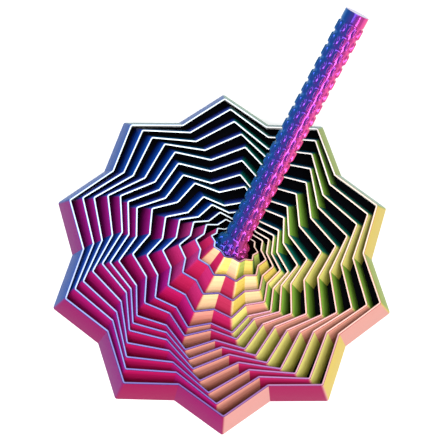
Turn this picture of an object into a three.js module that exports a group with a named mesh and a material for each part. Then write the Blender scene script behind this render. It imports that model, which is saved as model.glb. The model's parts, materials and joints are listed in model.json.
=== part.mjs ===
// A nested star cone: thirteen thin star rings, each a flared band that sits loosely inside the next,
// and a round scaled rod whose flared star foot sits loosely inside the smallest ring.
// Every ring stands wider at its foot than at its top edge, so each ring holds the one inside it.
// Millimetres, +Z up. The rings stand on z = 0, and the rod leans towards +Y.

import * as THREE from "three";

// Rings
const ringCount = 13;
const starPoints = 10;
const largestPointRadius = 36.5; // largest ring, top edge, middle of the wall, at a star point
const smallestPointRadius = 5.468; // the same on the smallest ring; the others lie evenly between
const valleyShare = 0.856; // valley radius as a share of the point radius
const ringHeight = 6;
const flare = 3.3; // how far the foot of a wall stands outside its top edge
const wallThickness = 0.42;
const cornerRadius = 0.45; // at the middle of the wall
const cornerSteps = 4;
const firstPointAngle = 12; // degrees, where the largest ring's star points lie from +X

// Rod
const rodRadius = 2.95; // the round envelope of the scales
const rodLength = 57; // from the top of the foot to the far end
const footHeight = 5;
const footClearance = 1.65; // between the foot's sides and the wall of the smallest ring, level with it
const neckHeight = 1; // between the star foot and the round shaft
const footInset = 0.35; // how much less the foot flares than a ring wall of its height
const footRise = 0.17; // the foot's height above the foot of the smallest ring, along that ring's axis
const rimClearance = 0.1; // between the shaft and the rim of the smallest ring that it leans on
const endChamfer = 0.4;

// Sizes that follow from the ones above
const ringPitch = (largestPointRadius - smallestPointRadius) / (ringCount - 1);
const sideShare = sideDistance(); // distance of a star's sides from its centre, as a share of its point radius
const wallPlay = ringPitch * sideShare - wallThickness; // between the walls of two neighbours
const footFlare = (flare * footHeight) / ringHeight - footInset;
const footTopRadius = smallestPointRadius - (footClearance + wallThickness / 2) / sideShare;

// How each ring lies in the one outside it, as shares of what the play between their walls allows: a
// sideways step of the foot's centre, a turn about its own axis, and a tilt towards the rod. The inner
// rings are pulled over by the leaning rod, and rest on their rims.
const ringLies = [
  { x: 0, y: 0, turn: 0, tilt: 0 },
  { x: -0.06, y: 0, turn: -0.48, tilt: 0 },
  { x: -0.12, y: -0.29, turn: -0.48, tilt: 0 },
  { x: 0, y: -0.18, turn: -0.68, tilt: 0 },
  { x: -0.06, y: -0.24, turn: -0.56, tilt: 0 },
  { x: -0.24, y: -0.53, turn: -0.22, tilt: 0 },
  { x: -0.12, y: -0.53, turn: -0.29, tilt: 0 },
  { x: 0.18, y: 0.18, turn: -0.49, tilt: 0 },
  { x: 0.53, y: -0.29, turn: -0.28, tilt: 0 },
  { x: 0.29, y: 0.24, turn: -0.2, tilt: 0.3 },
  { x: 0.29, y: 0.18, turn: -0.16, tilt: 0.45 },
  { x: 0.18, y: 0.21, turn: -0.07, tilt: 0.48 },
  { x: 0.06, y: 0.03, turn: -0.03, tilt: 0.48 },
];
const rodLie = { x: -0.24, y: 0, turn: 0.07, tilt: 0.35 };

const ringColours = [0xc0308a, 0x3a4fb8, 0xd9c25a];

// The closed outline of a star with rounded corners. Every side of the star is the same distance from
// the centre, so a star of another point radius is this one moved out evenly on all its sides.
function starOutline(pointRadius, pointRound, valleyRound, height) {
  const corners = [];
  for (let i = 0; i < 2 * starPoints; i++) {
    const angle = THREE.MathUtils.degToRad(firstPointAngle) + (i * Math.PI) / starPoints;
    const radius = i % 2 === 0 ? pointRadius : pointRadius * valleyShare;
    corners.push(new THREE.Vector2(Math.cos(angle), Math.sin(angle)).multiplyScalar(radius));
  }
  const outline = [];
  corners.forEach((corner, i) => {
    const before = corners.at(i - 1).clone().sub(corner);
    const after = corners[(i + 1) % corners.length].clone().sub(corner);
    const halfAngle = Math.acos(before.dot(after) / (before.length() * after.length())) / 2;
    const round = i % 2 === 0 ? pointRound : valleyRound;
    const inset = round / Math.tan(halfAngle);
    const start = corner.clone().addScaledVector(before.normalize(), inset);
    const end = corner.clone().addScaledVector(after.normalize(), inset);
    for (let s = 0; s <= cornerSteps; s++) {
      const t = s / cornerSteps;
      const p = start.clone().multiplyScalar((1 - t) * (1 - t));
      p.addScaledVector(corner, 2 * t * (1 - t)).addScaledVector(end, t * t);
      outline.push(new THREE.Vector3(p.x, p.y, height));
    }
  });
  return outline;
}

// A closed surface through outlines of equal length. A band joins its last outline back to its first;
// otherwise the first and last outlines are closed by flat caps.
function skin(outlines, isBand) {
  const count = outlines[0].length;
  const points = outlines.flat();
  const index = [];
  const rows = isBand ? outlines.length : outlines.length - 1;
  for (let r = 0; r < rows; r++) {
    const low = r * count;
    const high = ((r + 1) % outlines.length) * count;
    for (let i = 0; i < count; i++) {
      const next = (i + 1) % count;
      index.push(low + i, low + next, high + next, low + i, high + next, high + i);
    }
  }
  if (!isBand) {
    const top = (outlines.length - 1) * count;
    const middle = points.length;
    points.push(new THREE.Vector3(0, 0, outlines[0][0].z));
    points.push(new THREE.Vector3(0, 0, outlines.at(-1)[0].z));
    for (let i = 0; i < count; i++) {
      const next = (i + 1) % count;
      index.push(middle, next, i);
      index.push(middle + 1, top + i, top + next);
    }
  }
  const geometry = new THREE.BufferGeometry().setFromPoints(points);
  geometry.setIndex(index);
  geometry.computeVertexNormals();
  return geometry;
}

// One flared star ring, standing on z = 0.
function ringGeometry(pointRadius) {
  const half = wallThickness / 2;
  const outside = half / sideShare;
  const outer = (radius, z) => starOutline(radius + outside, cornerRadius + half, cornerRadius - half, z);
  const inner = (radius, z) => starOutline(radius - outside, cornerRadius - half, cornerRadius + half, z);
  const foot = pointRadius + flare;
  const top = pointRadius;
  return skin([outer(foot, 0), outer(top, ringHeight), inner(top, ringHeight), inner(foot, 0)], true);
}

// How far the sides of a star of point radius 1 are from its centre.
function sideDistance() {
  const half = Math.PI / starPoints;
  const point = new THREE.Vector2(1, 0);
  const valley = new THREE.Vector2(Math.cos(half), Math.sin(half)).multiplyScalar(valleyShare);
  return Math.abs(point.cross(valley)) / point.distanceTo(valley);
}

// The rod: a flared star foot that runs into a round shaft with a chamfered end.
function rodGeometry() {
  const foot = starOutline(footTopRadius + footFlare, cornerRadius, cornerRadius, 0);
  const neck = starOutline(footTopRadius, cornerRadius / 2, cornerRadius / 2, footHeight);
  const circle = (radius, z) =>
    neck.map((p) => new THREE.Vector3(p.x, p.y, 0).setLength(radius).setZ(z));
  const end = footHeight + rodLength;
  const shaft = [circle(rodRadius, footHeight + neckHeight), circle(rodRadius, end - endChamfer)];
  return skin([foot, neck, ...shaft, circle(rodRadius - endChamfer, end)], false);
}

// Lays a piece in its lie in the one outside it, with its foot's centre level with the table.
function lay(mesh, outer, lie, play, pointRadius) {
  const sideways = Math.sqrt(1 - sideShare ** 2) * pointRadius;
  const upPlay = (play * ringHeight) / flare;
  const place = {
    x: outer.x + lie.x * play,
    y: outer.y + lie.y * play,
    turn: outer.turn + (lie.turn * play) / sideways,
    tilt: outer.tilt + (lie.tilt * upPlay) / pointRadius,
  };
  mesh.rotation.set(-place.tilt, 0, place.turn, "XYZ");
  mesh.position.set(place.x, place.y, 0);
  return place;
}

const toy = new THREE.Group();
let place = { x: 0, y: 0, turn: 0, tilt: 0 };
for (let i = 0; i < ringCount; i++) {
  const material = new THREE.MeshStandardMaterial({
    color: ringColours[i % ringColours.length],
    roughness: 0.25,
    metalness: 0.9,
  });
  const pointRadius = largestPointRadius - i * ringPitch;
  const ring = new THREE.Mesh(ringGeometry(pointRadius), material);
  ring.name = "ring_" + String(i + 1).padStart(2, "0");
  place = lay(ring, place, ringLies[i], wallPlay, pointRadius);
  ring.position.z = -new THREE.Box3().setFromObject(ring, true).min.z; // its lowest corner is on the table
  toy.add(ring);
}

const rodMaterial = new THREE.MeshStandardMaterial({ color: 0x8a3fb0, roughness: 0.25, metalness: 0.9 });
const rod = new THREE.Mesh(rodGeometry(), rodMaterial);
rod.name = "rod";
// The shaft leans on the far side of the smallest ring's rim, and its foot follows from that.
const lean = lay(rod, place, rodLie, footClearance, footTopRadius).tilt - place.tilt;
const rim = smallestPointRadius * sideShare - wallThickness / 2;
const shaftAtRim = rim - rimClearance - rodRadius / Math.cos(lean);
const foot = new THREE.Vector3(0, shaftAtRim - (ringHeight - footRise) * Math.tan(lean), footRise);
const smallestRing = toy.children.at(-1);
foot.applyAxisAngle(new THREE.Vector3(1, 0, 0), -place.tilt).add(smallestRing.position);
rod.position.set(rod.position.x, foot.y, foot.z);
toy.add(rod);

// The origin is the middle of the footprint, on the table.
const footprint = new THREE.Box3().setFromObject(toy, true).getCenter(new THREE.Vector3());
toy.position.set(-footprint.x, -footprint.y, 0);

export default toy;
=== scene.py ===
"""The looks of a nested star cone: thirteen flared star rings, loose inside one another, and a scaled rod."""

import json
import math
import bmesh
import bpy
import numpy as np
from mathutils import Matrix, Vector

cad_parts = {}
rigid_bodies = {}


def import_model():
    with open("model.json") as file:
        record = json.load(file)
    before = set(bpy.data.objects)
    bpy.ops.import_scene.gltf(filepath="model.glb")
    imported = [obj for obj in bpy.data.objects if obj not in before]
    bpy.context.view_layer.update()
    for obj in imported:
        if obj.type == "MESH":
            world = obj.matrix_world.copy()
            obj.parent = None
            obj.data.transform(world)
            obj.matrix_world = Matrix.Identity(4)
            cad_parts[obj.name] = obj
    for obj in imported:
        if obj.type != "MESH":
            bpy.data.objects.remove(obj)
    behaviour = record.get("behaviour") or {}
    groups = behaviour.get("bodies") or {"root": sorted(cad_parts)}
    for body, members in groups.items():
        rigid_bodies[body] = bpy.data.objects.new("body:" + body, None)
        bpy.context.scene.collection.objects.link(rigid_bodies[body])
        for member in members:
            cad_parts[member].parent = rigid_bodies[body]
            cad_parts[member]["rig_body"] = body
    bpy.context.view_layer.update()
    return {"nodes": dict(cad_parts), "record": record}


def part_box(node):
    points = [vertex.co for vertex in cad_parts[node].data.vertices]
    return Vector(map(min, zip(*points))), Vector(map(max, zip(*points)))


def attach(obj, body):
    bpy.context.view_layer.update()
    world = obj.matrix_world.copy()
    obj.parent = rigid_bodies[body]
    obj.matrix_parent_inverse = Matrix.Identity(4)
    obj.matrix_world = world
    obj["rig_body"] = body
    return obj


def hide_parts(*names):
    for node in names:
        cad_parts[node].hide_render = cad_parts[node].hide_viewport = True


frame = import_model()
MM = 0.001

# The table and the room round the toy: a pale matt floor, a large soft lamp over it, a smaller one at
# the side of the rod, and an even pale room. The camera looks steeply down on the star.
AIM = Vector((-3.5, 0.9, 3.0)) * MM
CAMERA_DISTANCE = 247.0 * MM
CAMERA_AZIMUTH, CAMERA_ELEVATION, CAMERA_ROLL = 21.0, 74.04, 9.63
CAMERA_VIEW_ANGLE = 23.335
FLOOR_SIZE = 6
ROOM_LIGHT = 0.55

camera_turn = (
    Matrix.Rotation(math.radians(CAMERA_AZIMUTH), 3, "Z")
    @ Matrix.Rotation(math.radians(90 - CAMERA_ELEVATION), 3, "X")
    @ Matrix.Rotation(math.radians(CAMERA_ROLL), 3, "Z")
)
camera_place = AIM + camera_turn.col[2] * CAMERA_DISTANCE
bpy.ops.object.camera_add(location=camera_place, rotation=camera_turn.to_euler())
camera = bpy.context.object
camera.data.angle = math.radians(CAMERA_VIEW_ANGLE)
camera.data.clip_start, camera.data.clip_end = 0.01, 10
bpy.context.scene.camera = camera
bpy.context.scene.view_settings.view_transform = "Standard"


def lamp(name, place, size, power):
    """A square soft lamp that points at the toy."""
    bpy.ops.object.light_add(type="AREA", location=place)
    made = bpy.context.object
    made.name = name
    made.rotation_euler = (AIM - Vector(place)).to_track_quat("-Z", "Y").to_euler()
    made.data.size = size
    made.data.energy = power


lamp("lamp_above", (0.05, -0.12, 0.62), size=0.5, power=4.7)
lamp("lamp_right", (0.46, -0.30, 0.30), size=0.14, power=0.9)

room = bpy.data.worlds.new("room")
bpy.context.scene.world = room
room.use_nodes = True
room.node_tree.nodes["Background"].inputs["Color"].default_value = (1.0, 1.0, 1.0, 1)
room.node_tree.nodes["Background"].inputs["Strength"].default_value = ROOM_LIGHT

bpy.ops.mesh.primitive_plane_add(size=FLOOR_SIZE, location=(0, 0, 0))
floor = bpy.context.object
floor.name = "floor"
floor_paint = bpy.data.materials.new("floor_paint")
floor_paint.use_nodes = True
floor_paint.node_tree.nodes["Principled BSDF"].inputs["Base Color"].default_value = (0.93, 0.93, 0.93, 1)
floor_paint.node_tree.nodes["Principled BSDF"].inputs["Roughness"].default_value = 0.9
floor.data.materials.append(floor_paint)

# A thin dark card lies under the toy, inside the foot of the largest ring, so that the pale table
# doesn't shine up between the rings: painted shade, a black sheet where the table lies in the toy's shade.
CARD_SHARE, CARD_HEIGHT = 0.97, 0.02 * MM
STAR_POINTS = 10
STAR_STEP = math.tau / STAR_POINTS
VALLEY_SHARE = 0.856
SAME_PLACE = 0.001 * MM


def make_star(centre, turn):
    """Turns the selected outline of points and valleys about its centre, so that its first corner lies at
    this turn, and draws every other corner in, in edit mode."""
    bpy.ops.transform.rotate(value=math.radians(90) - turn, orient_axis="Z", center_override=centre)
    shape = bmesh.from_edit_mesh(bpy.context.object.data)
    corners = [vertex for vertex in shape.verts if vertex.select]
    bpy.ops.mesh.select_all(action="DESELECT")
    bpy.ops.mesh.select_mode(type="VERT")
    for vertex in corners:
        way = math.atan2(vertex.co.y - centre[1], vertex.co.x - centre[0]) - turn
        vertex.select_set(abs(math.remainder(way, STAR_STEP)) > STAR_STEP / 4)
    bmesh.update_edit_mesh(bpy.context.object.data)
    bpy.ops.transform.resize(value=(VALLEY_SHARE, VALLEY_SHARE, 1), center_override=centre)


foot_low, foot_high = (Vector(corner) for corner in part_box("ring_01"))
middle = (foot_low + foot_high) / 2
corners = frame["nodes"]["ring_01"].data.vertices
foot_edge = [corner.co - middle for corner in corners if corner.co.z < foot_low.z + SAME_PLACE]
farthest = max(foot_edge, key=lambda spot: math.hypot(spot.x, spot.y))
bpy.ops.object.select_all(action="DESELECT")
bpy.ops.mesh.primitive_circle_add(
    vertices=2 * STAR_POINTS,
    radius=CARD_SHARE * math.hypot(farthest.x, farthest.y),
    fill_type="NGON",
    location=(middle.x, middle.y, CARD_HEIGHT),
)
painted_shade_card = bpy.context.object
painted_shade_card.name = "painted_shade_card"
bpy.ops.object.transform_apply(location=True)
bpy.ops.object.mode_set(mode="EDIT")
make_star((middle.x, middle.y, 0), math.atan2(farthest.y, farthest.x))
bpy.ops.object.mode_set(mode="OBJECT")
painted_shade_card_paint = floor_paint.copy()
painted_shade_card_paint.name = "painted_shade_card_paint"
# painted shade: near black, for the table between the rings
painted_shade_card_paint.node_tree.nodes["Principled BSDF"].inputs["Base Color"].default_value = (0.004, 0.004, 0.006, 1)
painted_shade_card_paint.node_tree.nodes["Principled BSDF"].inputs["Specular IOR Level"].default_value = 0.0
painted_shade_card.data.materials.append(painted_shade_card_paint)


# The thirteen star rings are printed in one go, each a thin flared wall, in a silk filament with three
# colours side by side in the strand, so a wall's colour goes with the way that it faces. The top edge
# and the foot of each wall have small rounded lips.
RING_COUNT, FIRST_LEANING_RING = 13, 11
LIP = 0.12 * MM
FLAT_TOP, LIP_START = 0.93, 0.55  # how far up a face of the top edge, and of its outer lip, points
POINT_TURN = math.radians(12)
LEANING_COLOUR_TURN = math.radians(28)

# The finish, in millimetres along a wall and up it: the print layers, the streaks of the filament, and
# how much the streaks change the colour and the roughness.
RING_HEIGHT = 6.0
LAYER, LAYER_STRENGTH, LAYER_RELIEF = 0.2, 0.14, 0.01 * MM
STREAKS = (0.06, 3.0, 1.0)
COLOUR_STREAKS, ROUGHNESS_STREAKS = 0.9, 0.12
SPECULAR = 0.06
# the inner faces of the walls, near black: painted shade, as they lie in each other's shade
INNER_SHADE_COLOUR = (0.010, 0.002, 0.004, 1)

# Own azimuth of the way a wall faces, in degrees, and the colour: on the walls near the top edge, the
# filament's colour with a painted highlight; on the same walls near the foot, darker as painted shade
# where the walls lie deep between the rings; on the largest ring, which stands in the open, the same
# filament in duller colours, as painted light for the stronger light on it there; and on the rings that
# lean with the rod, near the top edge and near the foot, with the same painted highlight and shade.
UPPER_COLOURS = [
    (12, (1.000, 0.960, 0.560)),
    (48, (0.600, 0.820, 0.300)),
    (84, (0.060, 0.600, 0.520)),
    (120, (0.060, 0.420, 0.580)),
    (156, (0.300, 0.420, 0.900)),
    (192, (0.100, 0.380, 0.860)),
    (228, (0.740, 0.120, 0.610)),
    (264, (0.800, 0.120, 0.510)),
    (300, (0.820, 0.110, 0.410)),
    (336, (0.990, 0.680, 0.600)),
]
LOWER_COLOURS = [
    (12, (0.920, 0.880, 0.300)),
    (48, (0.340, 0.520, 0.120)),
    (84, (0.000, 0.360, 0.340)),
    (120, (0.000, 0.220, 0.380)),
    (156, (0.060, 0.120, 0.640)),
    (192, (0.020, 0.200, 0.660)),
    (228, (0.560, 0.010, 0.420)),
    (264, (0.600, 0.010, 0.320)),
    (300, (0.680, 0.010, 0.240)),
    (336, (0.720, 0.300, 0.220)),
]
# the largest ring's colours: the same filament, duller, as painted light for the stronger light on it in the
# open
OPEN_PAINTED_LIGHT_COLOURS = [
    (12, (0.780, 0.690, 0.330)),
    (48, (0.540, 0.620, 0.240)),
    (84, (0.560, 0.680, 0.600)),
    (120, (0.480, 0.600, 0.600)),
    (156, (0.240, 0.380, 0.640)),
    (192, (0.090, 0.300, 0.600)),
    (228, (0.500, 0.130, 0.440)),
    (264, (0.530, 0.060, 0.350)),
    (300, (0.560, 0.050, 0.290)),
    (336, (0.780, 0.550, 0.520)),
]
LEANING_UPPER_COLOURS = [
    (12, (0.900, 0.800, 0.380)),
    (48, (0.640, 0.740, 0.360)),
    (84, (0.060, 0.360, 0.240)),
    (156, (0.200, 0.240, 0.620)),
    (192, (0.140, 0.200, 0.560)),
    (228, (0.740, 0.220, 0.540)),
    (264, (0.770, 0.170, 0.450)),
    (300, (0.750, 0.130, 0.340)),
    (336, (0.920, 0.840, 0.620)),
]
LEANING_LOWER_COLOURS = [
    (12, (0.800, 0.600, 0.160)),
    (48, (0.460, 0.580, 0.200)),
    (84, (0.020, 0.200, 0.140)),
    (156, (0.100, 0.140, 0.500)),
    (192, (0.060, 0.120, 0.440)),
    (228, (0.640, 0.120, 0.440)),
    (264, (0.680, 0.080, 0.340)),
    (300, (0.640, 0.050, 0.240)),
    (336, (0.860, 0.580, 0.480)),
]
# Azimuth of the place on the ring, and the colour: of the flat top edge, a painted highlight that is bright
# where the light catches it and dark purple where it doesn't; and of its outer lip, the filament's colour
# with painted highlight and shade.
EDGE_HIGHLIGHT_COLOURS = [
    (0, (0.90, 0.70, 0.66)),
    (50, (1.00, 0.88, 0.80)),
    (100, (0.95, 0.97, 0.98)),
    (150, (0.92, 0.98, 1.00)),
    (200, (0.82, 0.90, 1.00)),
    (240, (0.52, 0.55, 0.78)),
    (285, (0.40, 0.32, 0.58)),
    (325, (0.58, 0.40, 0.58)),
]
LIP_HIGHLIGHT_AND_SHADE_COLOURS = [
    (0, (0.62, 0.20, 0.24)),
    (50, (0.60, 0.34, 0.26)),
    (100, (0.20, 0.42, 0.50)),
    (150, (0.10, 0.34, 0.72)),
    (200, (0.10, 0.30, 0.80)),
    (240, (0.14, 0.17, 0.52)),
    (285, (0.20, 0.08, 0.32)),
    (325, (0.44, 0.18, 0.42)),
]


def linear(colour):
    """An sRGB colour as the linear one that a shader takes."""
    return [c / 12.92 if c <= 0.04045 else ((c + 0.055) / 1.055) ** 2.4 for c in colour] + [1.0]


class Shade:
    """A shader socket that takes part in Python arithmetic, and that any other node can be added beside."""

    def __init__(self, tree, socket=None):
        self.tree, self.socket = tree, socket

    def node(self, kind, settings=None, sockets=None, output=0):
        made = self.tree.nodes.new(kind)
        for name, value in (settings or {}).items():
            if name == "stops":
                for place, colour in value[2:]:
                    made.color_ramp.elements.new(place)
                for element, (place, colour) in zip(made.color_ramp.elements, value):
                    element.position, element.color = place, colour
            else:
                setattr(made, name, value)
        for name, value in (sockets or {}).items():
            if isinstance(value, Shade):
                self.tree.links.new(value.socket, made.inputs[name])
            else:
                made.inputs[name].default_value = value
        return Shade(self.tree, made.outputs[output])

    def maths(self, operation, first, second=0.0):
        return self.node("ShaderNodeMath", {"operation": operation}, {0: first, 1: second})

    def __add__(self, other):
        return self.maths("ADD", self, other)

    def __sub__(self, other):
        return self.maths("SUBTRACT", self, other)

    def __mul__(self, other):
        return self.maths("MULTIPLY", self, other)

    def __truediv__(self, other):
        return self.maths("DIVIDE", self, other)

    def __rsub__(self, other):
        return self.maths("SUBTRACT", other, self)

    __radd__, __rmul__ = __add__, __mul__

    def mixed(self, first, second):
        """A colour that goes from first to second with this value."""
        return self.node("ShaderNodeMix", {"data_type": "RGBA"}, {0: self, 6: first, 7: second}, 2)


def ramp_stops(colours):
    """Ramp stops over a whole turn, which meet at its two ends."""
    first, last = colours[0], colours[-1]
    share = (360 - last[0]) / (first[0] + 360 - last[0])
    meeting = [a + (b - a) * share for a, b in zip(last[1], first[1])]
    wanted = [(0, meeting)] + list(colours) + [(360, meeting)]
    stops = [(degrees / 360, linear(colour)) for degrees, colour in wanted]
    return [s for i, s in enumerate(stops) if i == 0 or s[0] > stops[i - 1][0]]


FACE_KINDS = ("facing", "inner", "edge", "lip", "around")


def silk(name, upper, lower, roughness, metallic):
    """The three-colour silk filament, with its colours by facing, painted shade towards the foot and on the
    inner faces, painted highlights on the top edges, and its fine print layers. A piece that has no inner,
    edge or lip faces leaves those notes out, and they count as none."""
    material = bpy.data.materials.new(name)
    material.use_nodes = True
    tree = material.node_tree
    surface = tree.nodes["Principled BSDF"]
    shade = Shade(tree)
    facing, inner, edge, lip, around = (
        shade.node("ShaderNodeAttribute", {"attribute_name": kind}, output=2) for kind in FACE_KINDS
    )
    unwrapped = shade.node("ShaderNodeUVMap", {"uv_map": "wall"})
    up = shade.node("ShaderNodeSeparateXYZ", sockets={0: unwrapped}, output=1)

    stretched = shade.node("ShaderNodeMapping", sockets={"Vector": unwrapped, "Scale": STREAKS})
    streaks = shade.node("ShaderNodeTexNoise", sockets={"Vector": stretched, "Scale": 1.0, "Detail": 3.0})
    upper_colour = shade.node("ShaderNodeValToRGB", {"stops": ramp_stops(upper)}, {0: facing})
    lower_colour = shade.node("ShaderNodeValToRGB", {"stops": ramp_stops(lower)}, {0: facing})
    # painted shade: each wall darkens from its upper colours to its lower ones towards the foot, where it
    # lies deep between the rings
    depth = shade.maths("MAXIMUM", 1 - up / RING_HEIGHT + (streaks - 0.5) * COLOUR_STREAKS)
    depth = shade.maths("MINIMUM", depth, 1.0)
    coloured = depth.mixed(upper_colour, lower_colour)
    # painted shade: the inner faces are near black
    coloured = inner.mixed(coloured, INNER_SHADE_COLOUR)
    # painted highlight and shade: the top edge and its outer lip are coloured by where they lie around the
    # ring, not by the way they face
    lip_highlight_and_shade = shade.node("ShaderNodeValToRGB", {"stops": ramp_stops(LIP_HIGHLIGHT_AND_SHADE_COLOURS)}, {0: around})
    edge_highlight = shade.node("ShaderNodeValToRGB", {"stops": ramp_stops(EDGE_HIGHLIGHT_COLOURS)}, {0: around})
    coloured = lip.mixed(coloured, lip_highlight_and_shade)
    coloured = edge.mixed(coloured, edge_highlight)
    tree.links.new(coloured.socket, surface.inputs["Base Color"])
    varied_roughness = roughness + (streaks - 0.5) * ROUGHNESS_STREAKS
    tree.links.new(varied_roughness.socket, surface.inputs["Roughness"])
    surface.inputs["Metallic"].default_value = metallic
    surface.inputs["Specular IOR Level"].default_value = SPECULAR

    layers = shade.maths("SINE", up * (math.tau / LAYER)) * 0.5 + streaks
    relief = {"Strength": LAYER_STRENGTH, "Distance": LAYER_RELIEF, "Height": layers}
    bump = shade.node("ShaderNodeBump", sockets=relief)
    tree.links.new(bump.socket, surface.inputs["Normal"])
    return material


ring_silk = silk("ring_silk", UPPER_COLOURS, LOWER_COLOURS, roughness=0.33, metallic=0.2)
# the largest ring: a copy of the filament with painted light in its colours
open_painted_light_silk = silk("open_painted_light_silk", OPEN_PAINTED_LIGHT_COLOURS, OPEN_PAINTED_LIGHT_COLOURS, roughness=0.4, metallic=0.04)
leaning_silk = silk(
    "leaning_silk", LEANING_UPPER_COLOURS, LEANING_LOWER_COLOURS, roughness=0.36, metallic=0.15
)


def own_frame(node, neighbour_turn):
    """Where a ring lies: its centre, the turn that lays it flat, and its turn about its own axis, which
    is the one nearest its neighbour's that brings a star point to its place."""
    corners = np.array([v.co for v in node.data.vertices])
    centre = corners.mean(0)
    axis = Vector(np.linalg.eigh(np.cov((corners - centre).T))[1][:, 0])
    axis = -axis if axis.z < 0 else axis
    flat = axis.rotation_difference(Vector((0, 0, 1))).to_matrix()
    laid = (corners - centre) @ np.array(flat).T
    point = laid[np.argmax(np.hypot(laid[:, 0], laid[:, 1]))]
    turn = math.atan2(point[1], point[0])
    turn -= round((turn - neighbour_turn) / STAR_STEP) * STAR_STEP
    return Vector(centre), flat, turn


def star_ring(node, name, paint):
    """A smooth copy of a ring with rounded lips."""
    bpy.ops.object.select_all(action="DESELECT")
    ring = bpy.data.objects.new(name, node.data.copy())
    bpy.context.scene.collection.objects.link(ring)
    ring.data.materials.clear()
    ring.data.materials.append(paint)
    ring.select_set(True)
    bpy.context.view_layer.objects.active = ring
    bpy.ops.object.mode_set(mode="EDIT")
    bpy.ops.mesh.select_all(action="SELECT")
    bpy.ops.mesh.remove_doubles(threshold=SAME_PLACE)
    bpy.ops.mesh.tris_convert_to_quads(face_threshold=math.radians(60), shape_threshold=math.radians(180))
    bpy.ops.mesh.select_all(action="DESELECT")
    bpy.ops.mesh.select_mode(type="EDGE")
    bpy.ops.mesh.edges_select_sharp(sharpness=math.radians(35))
    bpy.ops.mesh.bevel(offset=LIP, segments=3, affect="EDGES")
    bpy.ops.object.mode_set(mode="OBJECT")
    bpy.ops.object.shade_smooth_by_angle(angle=math.radians(25))
    return ring


def share_of_turn(angle):
    """An angle as a share of a whole turn, which is how the colour ramps read it."""
    return (angle / math.tau) % 1


def note_faces(mesh, centre, flat, own_turn):
    """Notes on each face of a ring: the way it points in the ring's own frame, where it lies around the
    ring, and whether it is an inner wall, the flat top edge or its outer lip."""
    for kind in FACE_KINDS:
        mesh.attributes.new(kind, "FLOAT", "FACE")
    facing, inner, edge, lip, around = (mesh.attributes[kind] for kind in FACE_KINDS)
    for face in mesh.polygons:
        place = face.center - centre
        out = flat @ place
        way = flat @ face.normal
        outward = way.x * out.x + way.y * out.y > 0
        facing.data[face.index].value = share_of_turn(math.atan2(way.y, way.x) - own_turn)
        around.data[face.index].value = share_of_turn(math.atan2(place.y, place.x))
        inner.data[face.index].value = float(not outward)
        edge.data[face.index].value = float(way.z > FLAT_TOP)
        lip.data[face.index].value = float(outward and LIP_START < way.z <= FLAT_TOP)


def unwrap(mesh, along_and_up):
    """Lays the walls out flat, by how far along the wall and up it each corner lies, in millimetres."""
    for layer in list(mesh.uv_layers):
        mesh.uv_layers.remove(layer)
    wall = mesh.uv_layers.new(name="wall")
    for loop in mesh.loops:
        wall.data[loop.index].uv = along_and_up(mesh.vertices[loop.vertex_index].co)


def along_ring(corner):
    """How far along the wall of the ring at hand, and up it, a corner lies."""
    spot = flat @ (corner - centre)
    return math.atan2(spot.y, spot.x) * math.hypot(spot.x, spot.y) / MM, spot.z / MM + RING_HEIGHT / 2


turn = POINT_TURN
for number in range(1, RING_COUNT + 1):
    node = frame["nodes"][f"ring_{number:02d}"]
    centre, flat, turn = own_frame(node, turn)
    paint = open_painted_light_silk if number == 1 else leaning_silk if number >= FIRST_LEANING_RING else ring_silk
    ring = star_ring(node, f"star_ring_{number:02d}", paint)
    own_turn = turn - POINT_TURN
    if number == RING_COUNT:
        own_turn -= LEANING_COLOUR_TURN  # it leans the most, and shows the strand's next colour
    note_faces(ring.data, centre, flat, own_turn)
    unwrap(ring.data, along_ring)
    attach(ring, node["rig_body"])
    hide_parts(node.name)

# The rod is printed with its flared star foot, which is the innermost star and sits in the smallest
# ring. Rows of raised oval scales, each with a dimple, run all the way up to a plain collar. It is of
# the same silk filament as the rings.
SCALE_COLUMNS, SCALE_ROWS = 12, 18
COLUMN_TURN = math.radians(-6.6)
COLLAR_HEIGHT = 2.3 * MM
FOOT_HEIGHT, NECK_HEIGHT = 6.5 * MM, 0.6 * MM
NECK_RADIUS = 3.5 * MM
CORE_RADIUS = 2.60 * MM
COLLAR_RADIUS = 2.80 * MM
COLLAR_EDGE = 0.15 * MM
END_LIP, END_RING = 0.12 * MM, 0.8 * MM
# each step of a scale: how far in from the one before it, and how far out of the rod, in millimetres
SCALE_STEPS = [(0.10, 0.05), (0.22, 0.24), (0.15, 0.08), (0.17, -0.20)]
FOOT_ROWS = 4
RIDGE_CREASE = 0.8
SMOOTH_LEVELS = 2
FLAT_END, FLAT_SIDE = 0.9, 0.7  # how far along the rod a face of a flat end, and at most of a side, points
END_FACING = Vector((0, -1, 0))
ROD_COLOUR_TURN = math.radians(35)
ROD_COLOURS = [
    (0, (0.80, 0.26, 0.36)),
    (60, (0.60, 0.50, 0.30)),
    (120, (0.12, 0.44, 0.50)),
    (170, (0.08, 0.36, 0.58)),
    (205, (0.12, 0.29, 0.62)),
    (240, (0.31, 0.17, 0.56)),
    (270, (0.70, 0.25, 0.56)),
    (300, (0.82, 0.27, 0.52)),
    (330, (0.74, 0.15, 0.33)),
]

rod_node = frame["nodes"]["rod"]
far_end = next(mount for mount in frame["record"]["mounts"] if mount["name"] == "rod_end")
end_place, rod_axis = Vector(far_end["pos_m"]), Vector(far_end["axis"])
upright = rod_axis.rotation_difference(Vector((0, 0, 1))).to_matrix()
own = [upright @ (v.co - end_place) for v in rod_node.data.vertices]
foot_level = min(v.z for v in own)
foot_corners = [v for v in own if v.z < foot_level + SAME_PLACE]
foot_point = max(foot_corners, key=lambda v: math.hypot(v.x, v.y))
foot_radius, foot_turn = math.hypot(foot_point.x, foot_point.y), math.atan2(foot_point.y, foot_point.x)


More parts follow.
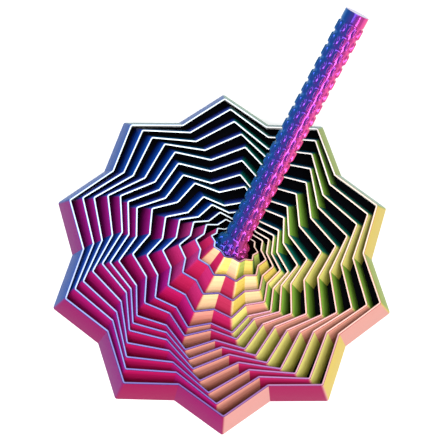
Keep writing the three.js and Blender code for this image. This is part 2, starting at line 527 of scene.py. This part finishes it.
def select_faces(test):
    """Selects the faces of the mesh in edit mode that pass the test, and nothing else."""
    bpy.ops.mesh.select_all(action="DESELECT")
    bpy.ops.mesh.select_mode(type="FACE")
    shape = bmesh.from_edit_mesh(bpy.context.object.data)
    for face in shape.faces:
        face.select_set(test(face))
    bmesh.update_edit_mesh(bpy.context.object.data)


def select_edges(test):
    """Selects the edges of the mesh in edit mode that pass the test, and nothing else."""
    bpy.ops.mesh.select_all(action="DESELECT")
    bpy.ops.mesh.select_mode(type="EDGE")
    shape = bmesh.from_edit_mesh(bpy.context.object.data)
    for edge in shape.edges:
        edge.select_set(test(edge))
    bmesh.update_edit_mesh(bpy.context.object.data)


def extrude(lift, scale=1.0):
    """Extrudes what is selected along the rod, then widens or narrows it about the rod's axis."""
    bpy.ops.mesh.extrude_region_move(TRANSFORM_OT_translate={"value": (0, 0, lift)})
    bpy.ops.transform.resize(value=(scale, scale, 1), center_override=(0, 0, 0))


shaft_top = -COLLAR_HEIGHT
shaft_foot = foot_level + FOOT_HEIGHT + NECK_HEIGHT
bpy.ops.object.select_all(action="DESELECT")
bpy.ops.mesh.primitive_cylinder_add(
    vertices=SCALE_COLUMNS,
    radius=CORE_RADIUS,
    depth=shaft_top - shaft_foot,
    location=(0, 0, (shaft_top + shaft_foot) / 2),
)
rod = bpy.context.object
rod.name = "scaled_rod"
bpy.ops.object.transform_apply(location=True)
bpy.ops.object.mode_set(mode="EDIT")
bpy.ops.transform.rotate(value=-COLUMN_TURN, orient_axis="Z", center_override=(0, 0, 0))
select_edges(lambda edge: abs(edge.verts[0].co.z - edge.verts[1].co.z) > MM)
bpy.ops.mesh.subdivide(number_cuts=SCALE_ROWS - 1)

# the collar
select_faces(lambda face: face.normal.z > FLAT_END)
extrude(0, COLLAR_RADIUS / CORE_RADIUS)
extrude(COLLAR_EDGE)
extrude(COLLAR_HEIGHT - 2 * COLLAR_EDGE)
extrude(COLLAR_EDGE)
bpy.ops.mesh.inset(thickness=END_LIP)
bpy.ops.mesh.inset(thickness=END_RING)

# the foot
select_faces(lambda face: face.normal.z < -FLAT_END and face.calc_center_median().z < shaft_foot + LIP)
bpy.ops.mesh.delete(type="ONLY_FACE")
bpy.ops.mesh.select_all(action="DESELECT")
neck_place = (0, 0, foot_level + FOOT_HEIGHT)
bpy.ops.mesh.primitive_circle_add(vertices=2 * STAR_POINTS, radius=NECK_RADIUS, location=neck_place)
make_star(neck_place, foot_turn)
select_edges(lambda edge: not edge.is_manifold)
bpy.ops.mesh.bridge_edge_loops()
select_edges(lambda edge: not edge.is_manifold)
for row in range(FOOT_ROWS):
    reach = NECK_RADIUS + (foot_radius - NECK_RADIUS) * row / FOOT_ROWS
    next_reach = NECK_RADIUS + (foot_radius - NECK_RADIUS) * (row + 1) / FOOT_ROWS
    extrude(-FOOT_HEIGHT / FOOT_ROWS, next_reach / reach)
bpy.ops.mesh.edge_face_add()
bpy.ops.mesh.inset(thickness=LIP)
select_edges(
    lambda edge: max(v.co.z for v in edge.verts) < neck_place[2] + LIP
    and abs(edge.verts[0].co.z - edge.verts[1].co.z) > MM
)
bpy.ops.transform.edge_crease(value=RIDGE_CREASE)
bpy.ops.mesh.select_all(action="SELECT")
bpy.ops.mesh.normals_make_consistent(inside=False)

# the scales, on every four-sided face of the shaft's and the foot's sides
select_faces(
    lambda face: abs(face.normal.z) < FLAT_SIDE
    and face.calc_center_median().z < shaft_top
    and len(face.verts) == 4
)
for thickness, depth in SCALE_STEPS:
    bpy.ops.mesh.inset(thickness=thickness * MM, depth=depth * MM, use_individual=True)
bpy.ops.object.mode_set(mode="OBJECT")
smooth = rod.modifiers.new("smooth", "SUBSURF")
smooth.levels = smooth.render_levels = SMOOTH_LEVELS
bpy.ops.object.modifier_apply(modifier="smooth")
bpy.ops.object.shade_smooth()

mesh = rod.data
facing = mesh.attributes.new("facing", "FLOAT", "FACE")
for face in mesh.polygons:
    out = Vector((face.center.x, face.center.y, 0)).normalized()
    way = face.normal + out if face.normal.z < FLAT_END else END_FACING
    facing.data[face.index].value = share_of_turn(math.atan2(way.y, way.x) - ROD_COLOUR_TURN)
unwrap(mesh, lambda spot: (math.atan2(spot.y, spot.x) * CORE_RADIUS / MM, spot.z / MM))
mesh.transform(upright.inverted().to_4x4())
mesh.transform(Matrix.Translation(end_place))
rod_silk = silk("rod_silk", ROD_COLOURS, ROD_COLOURS, roughness=0.15, metallic=0.65)
mesh.materials.append(rod_silk)
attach(rod, "rod")
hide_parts("rod")
